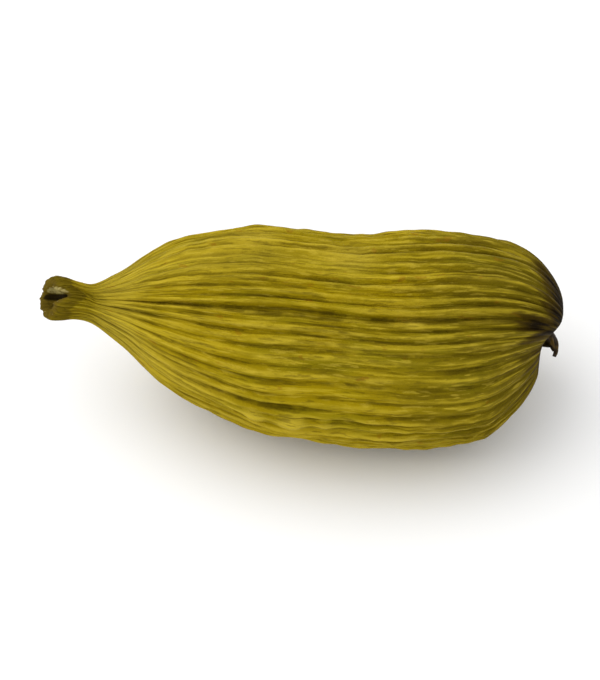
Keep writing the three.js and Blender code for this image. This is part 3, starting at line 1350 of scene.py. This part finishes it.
@dataclass
class CutStalk:
    """Torn fibres that stand on the rim of the cut stalk.

    Attributes:
        shape: The pod's form.
        resting: How the pod lies.
        finish: The fibres' finish.
        count: How many fibres there are.
        lengths: The shortest and the longest fibre, in millimetres.
        thickness: A fibre's radius at its root, in millimetres.
        tip_share: Its radius at its tip, against its root.
        sides: How many sides it has.
        ring: The radii between which they stand, as a share of the cup's and of the rim's.
        jitter: How far each strays from its even place around the rim, as a share of the step.
        lean: How far each leans off the stalk's own direction, against a direction of length 1.
        root_and_aim: Places along the stalk of a fibre's root, and of the point ahead that it heads for.
        middle_out: How far a fibre's middle stands out from its root, as a share of its length.
        seed: The seed of the random draws.
    """

    shape: PodShape
    resting: Resting
    finish: FibreFinish = FibreFinish()
    count: int = 26
    lengths: Range = (0.07, 0.18)
    thickness: float = 0.026
    tip_share: float = 0.25
    sides: int = 6
    ring: Range = (1.1, 0.92)
    jitter: float = 0.4
    lean: float = 0.4
    root_and_aim: Range = (0.1, -0.2)
    middle_out: float = 0.25
    seed: int = 4

    def build(self) -> bpy.types.Object:
        """Builds the fibres as one object.

        Returns:
            The object.
        """
        bm = bmesh.new()
        draw = random.Random(self.seed)
        inner = self.ring[0] * self.shape.cup_radius
        outer = self.ring[1] * self.shape.rim_radius
        for number in range(self.count):
            around = 2 * math.pi * (number + draw.uniform(-self.jitter, self.jitter)) / self.count
            self._add_fibre(bm, around, draw.uniform(inner, outer), draw)
        fibres = object_from(bm, "stalk_fibres", self.finish.material())
        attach(fibres, BODY)
        return fibres

    def _add_fibre(
        self, bm: bmesh.types.BMesh, around: float, radius: float, draw: random.Random
    ) -> None:
        """Adds one tapered fibre, with its root sunk in the rim.

        Args:
            bm: The fibres' mesh, in metres.
            around: The fibre's place around the rim, in radians.
            radius: Its distance from the stalk's axis, in millimetres.
            draw: The source of random draws.
        """
        along = np.array(self.root_and_aim)
        both = np.full(2, around), np.full(2, radius)
        root, ahead = self.resting.lay(self.shape.place(along, *both, np.zeros(2)))
        lean = Vector([draw.uniform(-self.lean, self.lean) for _ in range(3)])
        heading = (Vector(ahead - root).normalized() + lean).normalized()
        length = draw.uniform(*self.lengths) * MM
        turn = heading.to_track_quat("Z", "Y").to_matrix().to_4x4()
        bmesh.ops.create_cone(
            bm,
            cap_ends=True,
            segments=self.sides,
            radius1=self.thickness * MM,
            radius2=self.tip_share * self.thickness * MM,
            depth=length,
            matrix=Matrix.Translation(Vector(root) + self.middle_out * length * heading) @ turn,
        )


@dataclass(frozen=True)
class Shred:
    """One shred of the dried flower.

    Attributes:
        start: Where it starts along the stump, as a share of the stump's length.
        around: Where it starts around the stump, in degrees up from the middle of the broad face.
        off: How far from the stump's axis it starts, in millimetres.
        length: Its length, in millimetres.
        width: Its width, in millimetres.
        curl: How far it curls away from the stump on its way, in degrees.
        twist: How far it twists on its way, in degrees.
    """

    start: float
    around: float
    off: float
    length: float
    width: float
    curl: float
    twist: float


@dataclass
class FlowerRemnant:
    """Shreds of the dried flower that cling to its stump.

    Attributes:
        shape: The pod's form.
        resting: How the pod lies.
        finish: The shreds' finish.
        shreds: The shreds.
        thickness: Their thickness, in millimetres.
        cells: Steps across and along a shred.
        narrowing: How much of its width a shred loses on its way.
        narrowing_power: How late on its way it does so.
        ripple: How far a shred's surface waves, in millimetres.
        ripple_waves: How quickly it waves along the shred and across it, in radians.
        cupping: How far a shred's sides bend round the stump, against its width.
    """

    shape: PodShape
    resting: Resting
    finish: ShredFinish = ShredFinish()
    shreds: tuple[Shred, ...] = (
        Shred(0.1, 85, 0.4, 1.1, 0.6, -9, 12),
        Shred(0.15, 20, 0.36, 0.7, 0.55, 6, -18),
        Shred(0.3, -50, 0.3, 0.45, 0.45, 20, 22),
        Shred(0.15, 150, 0.36, 0.9, 0.55, 3, -14),
        Shred(0.3, 215, 0.3, 0.5, 0.45, 18, 20),
        Shred(0.5, 50, 0.3, 0.65, 0.4, 4, 26),
    )
    thickness: float = 0.06
    cells: tuple[int, int] = (6, 14)
    narrowing: float = 0.85
    narrowing_power: float = 2.2
    ripple: float = 0.04
    ripple_waves: Range = (7.0, 9.0)
    cupping: float = 0.8

    def build(self) -> bpy.types.Object:
        """Builds the shreds as one object.

        Returns:
            The object.
        """
        bm = bmesh.new()
        for shred in self.shreds:
            self._add_shred(bm, shred)
        remnant = object_from(bm, "dried_flower", self.finish.material())
        body = remnant.modifiers.new("paper", "SOLIDIFY")
        body.thickness = self.thickness * MM
        body.offset = 0.0
        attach(remnant, BODY)
        return remnant

    def _add_shred(self, bm: bmesh.types.BMesh, shred: Shred) -> None:
        """Adds one shred: a strip that starts on the stump, follows it, tapers, curls away and twists.

        Args:
            bm: The shreds' mesh, in metres.
            shred: The shred.
        """
        across, along = self.cells
        made = bmesh.ops.create_grid(bm, x_segments=across, y_segments=along, size=1.0)
        strip = np.array([vert.co for vert in made["verts"]])
        side = 0.5 * strip[:, 0]
        share = 0.5 * (strip[:, 1] + 1.0)
        points = self._strip(shred, side, share)
        for vert, point in zip(made["verts"], self.resting.lay(points)):
            vert.co = point

    def _strip(self, shred: Shred, side: np.ndarray, share: np.ndarray) -> np.ndarray:
        """Places on a shred, in millimetres.

        Args:
            shred: The shred.
            side: Places across it, from -0.5 to 0.5.
            share: Places along it, from 0 at its root to 1.

        Returns:
            The points, one a row.
        """
        shape = self.shape
        around = math.radians(shred.around)
        whole_bend = math.radians(shape.stump_bend)
        bend = whole_bend * (shred.start + share * shred.length / shape.stump_length)
        bend_radius = shape.stump_length / whole_bend
        curl = math.radians(shred.curl) * share
        away = shred.length * share * np.sin(curl)
        width = shred.width * side * (1.0 - self.narrowing * share**self.narrowing_power)
        twist = math.radians(shred.twist) * share
        ripple = self.ripple * np.sin(self.ripple_waves[0] * share + self.ripple_waves[1] * side + around)
        cupping = self.cupping * side * width
        outward = shred.off + away + ripple + width * np.sin(twist) - cupping
        sideways = width * np.cos(twist)
        up = outward * math.sin(around) + sideways * math.cos(around)
        near = outward * math.cos(around) - sideways * math.sin(around)
        x = (bend_radius + up) * np.sin(bend)
        y = (bend_radius + up) * np.cos(bend) - bend_radius
        foot = shape.place(np.array([shape.stump_foot]), np.zeros(1), np.zeros(1), np.zeros(1))
        return foot + np.stack((x, y, near), axis=1)


@dataclass(frozen=True)
class Lamp:
    """A soft square lamp.

    Attributes:
        name: Its name.
        towards: The direction from the pod to the lamp.
        distance: Its distance, in metres.
        size: Its side, in metres.
        power: Its power, in watts.
    """

    name: str
    towards: tuple[float, float, float]
    distance: float
    size: float
    power: float


@dataclass
class Studio:
    """The pale floor, the soft light and the camera.

    Attributes:
        picture: The picture's width and height, in pixels.
        elevation: The camera's height above the horizon, in degrees. It looks along +Y.
        lens: The camera's focal length, in millimetres.
        sensor: The sensor's longer side, in millimetres.
        pod_share: How much of the picture's width the pod takes.
        clip: The nearest and the furthest that it sees, as shares of its distance.
        floor_radius: The floor's radius, in metres.
        floor_sides: How many sides its edge has.
        floor_drop: How far the floor lies below the pod, in metres.
        floor_finish: The floor's finish.
        surround: The colour of the even light from all round, and its strength.
        lamps: The lamps.
    """

    picture: tuple[int, int] = (600, 680)
    elevation: float = 50.0
    lens: float = 180.0
    sensor: float = 36.0
    pod_share: float = 0.87
    clip: Range = (0.1, 20.0)
    floor_radius: float = 0.7
    floor_sides: int = 128
    floor_drop: float = 0.00001
    floor_finish: FloorFinish = FloorFinish()
    surround: tuple[Colour, float] = ((250, 250, 250), 0.95)
    lamps: tuple[Lamp, ...] = (Lamp("key", (-0.55, 0.1, 0.83), 0.4, 0.5, 0.95),)

    def build(self) -> None:
        """Builds the floor, the surround, the lamps and the camera."""
        self._add_floor()
        self._light_surround()
        for lamp in self.lamps:
            self._add_lamp(lamp)
        self._add_camera()
        bpy.context.scene.view_settings.view_transform = "Standard"

    def _add_floor(self) -> None:
        """Lays a wide round floor just under the pod."""
        bm = bmesh.new()
        level = Matrix.Translation((0.0, 0.0, -self.floor_drop))
        bmesh.ops.create_circle(
            bm, cap_ends=True, radius=self.floor_radius, segments=self.floor_sides, matrix=level
        )
        object_from(bm, "floor", self.floor_finish.material())

    def _light_surround(self) -> None:
        """Lights the scene evenly from all round."""
        colour, strength = self.surround
        world = bpy.data.worlds.new("surround")
        world.use_nodes = True
        background = world.node_tree.nodes["Background"]
        background.inputs["Color"].default_value = linear(colour)
        background.inputs["Strength"].default_value = strength
        bpy.context.scene.world = world

    def _add_lamp(self, lamp: Lamp) -> None:
        """Adds a soft square lamp that faces the pod.

        Args:
            lamp: The lamp.
        """
        light = bpy.data.lights.new(lamp.name, "AREA")
        light.size = lamp.size
        light.energy = lamp.power
        stood = bpy.data.objects.new(lamp.name, light)
        self._stand(stood, Vector(lamp.towards).normalized(), lamp.distance)

    def _add_camera(self) -> None:
        """Adds the camera, as far off as the pod's share of the picture asks."""
        low, high = CAD_BOX
        width, height = self.picture
        field_height = (high.x - low.x) / self.pod_share * height / width
        distance = field_height * self.lens / self.sensor
        data = bpy.data.cameras.new("camera")
        data.lens = self.lens
        data.sensor_width = self.sensor
        data.clip_start, data.clip_end = (share * distance for share in self.clip)
        rise = math.radians(self.elevation)
        camera = bpy.data.objects.new("camera", data)
        self._stand(camera, Vector((0.0, -math.cos(rise), math.sin(rise))), distance)
        bpy.context.scene.camera = camera

    @staticmethod
    def _stand(thing: bpy.types.Object, towards: Vector, distance: float) -> None:
        """Links a lamp or a camera to the scene, off from the pod's middle, and aims it there.

        Args:
            thing: The lamp or the camera.
            towards: The direction from the pod to it, of length 1.
            distance: Its distance, in metres.
        """
        low, high = CAD_BOX
        thing.location = (low + high) / 2 + distance * towards
        thing.rotation_euler = (-towards).to_track_quat("-Z", "Y").to_euler()
        bpy.context.scene.collection.objects.link(thing)


def report(piece: bpy.types.Object) -> None:
    """Logs a finished piece's name and its count of faces."""
    LOG.info("%s: %d faces", piece.name, len(piece.data.polygons))


def main() -> None:
    """Builds the pod's pieces, then the studio around them."""
    logging.basicConfig(level=logging.INFO, format="%(message)s")
    shape = PodShape()
    husk, resting = Husk(shape).build()
    report(husk)
    report(CutStalk(shape, resting).build())
    report(FlowerRemnant(shape, resting).build())
    Studio().build()


if __name__ == "__main__":
    main()
